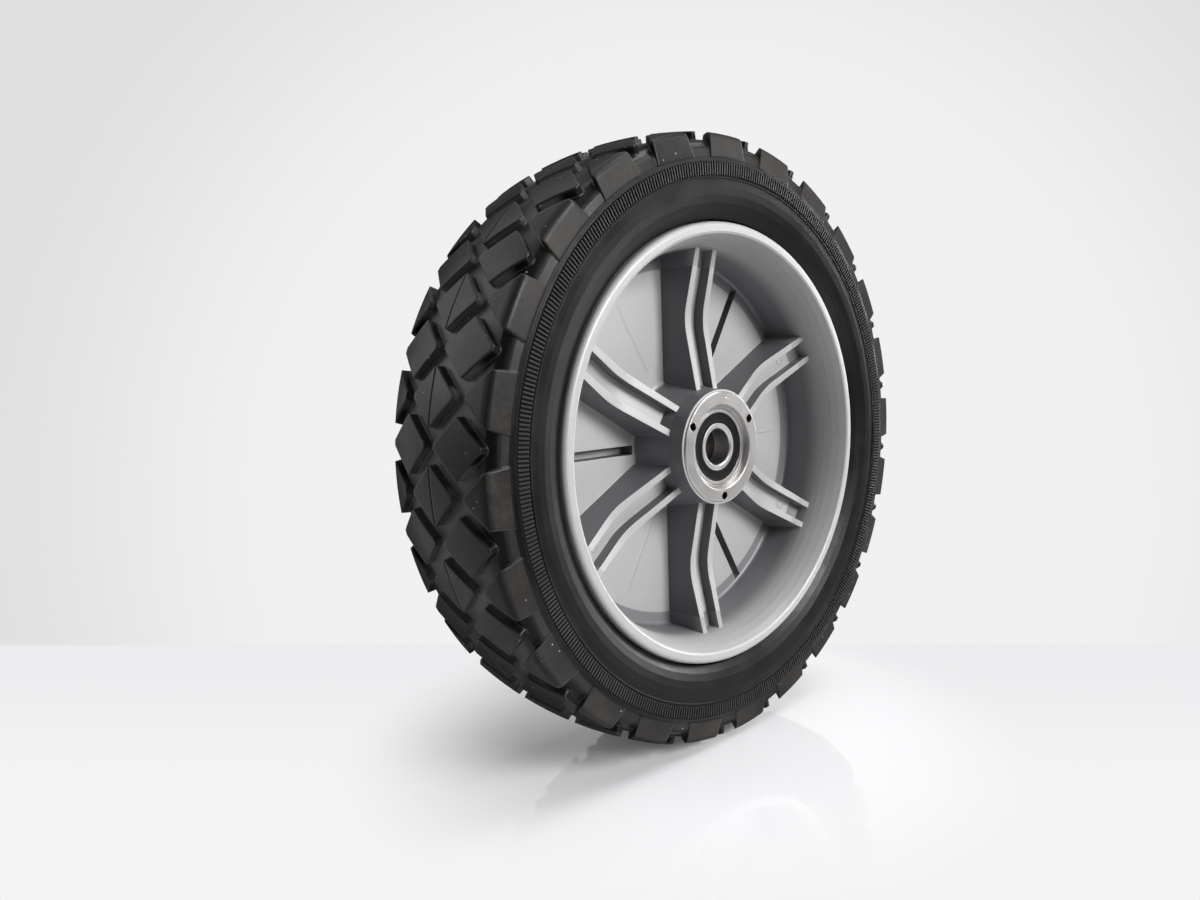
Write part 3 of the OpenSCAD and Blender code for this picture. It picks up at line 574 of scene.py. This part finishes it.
# Studio: a glossy white table top that meets a pale backdrop in a line behind the wheel. White walls
# stand behind it and to its right, and the room is dark to the left of the camera. Four soft boxes
# hang in front, to the right, overhead and behind.
floor_z = cad_box[0].z
floor_r = 4.0
floor_sides = 96
floor_white = (0.72, 0.72, 0.735, 1)
floor_shade = (0.10, 0.10, 0.10, 1)
shade_spread = (0.15, 0.5)
floor_gloss = 0.02
glow_near = (0.90, 0.90, 0.912, 1)
glow_far = (0.835, 0.835, 0.852, 1)
glow_reach = 0.19
glow_low = 0.08
glow_spread = (0.065, 0.15)
backdrop = (0.885, 0.87, 0.875, 1)
table_end = (0.45, 1.1)
line_from_eye = 0.459
line_soft = 0.003
dark_side = Vector((-0.35, -0.94, 0))
dark_spread = (0.75, 0.0)
dark_level = 0.08
corner_level = 0.85
corner_spread = (0.74, 0.91)
table_mirror = 0.8
air_light = 0.12

# Effect: how bright the studio is in a direction, to what it lights and to what mirrors it
studio_walls, given, out = new_effect("studio_walls", {"Direction": (0, 1, 0)}, ("Level", "Seen"))
aim = place(studio_walls, "VectorMath", {0: given.outputs["Direction"]}, operation="NORMALIZE").outputs[0]
for label, side, spread, low in (
        ("Level", dark_side, dark_spread, dark_level), ("Seen", forward, corner_spread, corner_level)):
    along = place(studio_walls, "VectorMath", {0: aim, 1: side}, operation="DOT_PRODUCT").outputs["Value"]
    studio_walls.links.new(ease(studio_walls, along, *spread, low), out.inputs[label])

clear_selection()
bpy.ops.mesh.primitive_circle_add(
    vertices=floor_sides, radius=floor_r, fill_type="NGON", location=(0, 0, floor_z))
floor = bpy.context.object
floor.name = "studio_floor"
paper, tree, shader = new_finish("studio_paper", floor_gloss)
rays = place(tree, "LightPath").outputs
straight = calc(tree, "MAXIMUM", rays["Is Camera Ray"], rays["Is Transmission Ray"])
point = place(tree, "NewGeometry").outputs["Position"]
from_centre = place(tree, "VectorMath", {0: point}, operation="LENGTH").outputs["Value"]
level = use(tree, studio_walls, Direction=point).outputs["Level"]
from_eye = place(tree, "VectorMath", {0: point, 1: eye}, operation="SUBTRACT").outputs[0]
seen = use(tree, studio_walls, Direction=from_eye).outputs["Seen"]

# What the table top throws back is darker towards the dark side of the room
dim = calc(tree, "SUBTRACT", ease(tree, from_centre, *shade_spread), rays["Is Camera Ray"])
dim = calc(tree, "MULTIPLY", calc(tree, "MAXIMUM", dim, 0.0), calc(tree, "SUBTRACT", 1.0, level))
dress(tree, shader, Base_Color=tint(tree, dim, floor_white, floor_shade))

# To the camera it glows evenly, apart from the wheel's shadow and mirror image round its foot
ahead = Vector((forward.x, forward.y, 0)).normalized()
away = place(tree, "VectorMath", {0: point, 1: ahead}, operation="DOT_PRODUCT").outputs["Value"]
line = line_from_eye + eye.dot(ahead)
foot = (0, 0, floor_z)
from_foot = place(tree, "VectorMath", {0: point, 1: foot}, operation="DISTANCE").outputs["Value"]
near = calc(tree, "MULTIPLY", rays["Is Camera Ray"], ease(tree, from_foot, *glow_spread, glow_low))
near_tone = tint(tree, ease(tree, away, line - glow_reach, line), glow_near, glow_far)
near_glow = place(tree, "Emission", {"Color": near_tone, "Strength": 1.0})
near = place(tree, "MixShader", {0: near, 1: shader.outputs[0], 2: near_glow.outputs[0]})

# Behind the line it is the backdrop, and far out it runs into the walls
behind = ease(tree, away, line - line_soft, line + line_soft)
far = calc(tree, "MAXIMUM", ease(tree, from_centre, *table_end), behind)
far = calc(tree, "MULTIPLY", far, calc(tree, "MAXIMUM", straight, rays["Is Glossy Ray"]))
mirrored = calc(tree, "MULTIPLY", level, table_mirror)
lit = place(tree, "Mix", {0: straight, 2: mirrored, 3: seen}, data_type="FLOAT").outputs[0]
glow = place(tree, "Emission", {"Color": backdrop, "Strength": lit})
blend = place(tree, "MixShader", {0: far, 1: near.outputs[0], 2: glow.outputs[0]})
tree.links.new(blend.outputs[0], tree.nodes["Material Output"].inputs["Surface"])
put_on(floor, paper)

softboxes = {
    "front_box": ((0.45, -1.95, 0.90), 0.9, 72.0),
    "right_box": ((1.95, -0.36, 0.42), 0.8, 32.0),
    "top_box": ((0.75, -0.35, 1.85), 1.0, 21.0),
    "back_box": ((-1.30, 1.25, 0.90), 1.4, 11.0)}
for name, (hangs_at, size, power) in softboxes.items():
    lamp = bpy.data.lights.new(name, "AREA")
    lamp.size = size
    lamp.energy = power
    holder = bpy.data.objects.new(name, lamp)
    holder.location = hangs_at
    holder.rotation_euler = (-Vector(hangs_at)).to_track_quat("-Z", "Y").to_euler()
    holder.visible_camera = False
    bpy.context.collection.objects.link(holder)

world = bpy.data.worlds.new("studio_air")
world.use_nodes = True
tree = world.node_tree
air = tree.nodes["Background"]
air.inputs["Color"].default_value = backdrop
rays = place(tree, "LightPath").outputs
straight = calc(tree, "MAXIMUM", rays["Is Camera Ray"], rays["Is Transmission Ray"])
walls = use(tree, studio_walls, Direction=place(tree, "TexCoord").outputs["Generated"]).outputs
mirrored = calc(tree, "MAXIMUM", rays["Is Glossy Ray"], air_light)
lit = calc(tree, "MULTIPLY", walls["Level"], mirrored)
lit = place(tree, "Mix", {0: straight, 2: lit, 3: walls["Seen"]}, data_type="FLOAT").outputs[0]
tree.links.new(lit, air.inputs["Strength"])
bpy.context.scene.world = world
bpy.context.scene.view_settings.view_transform = "Standard"
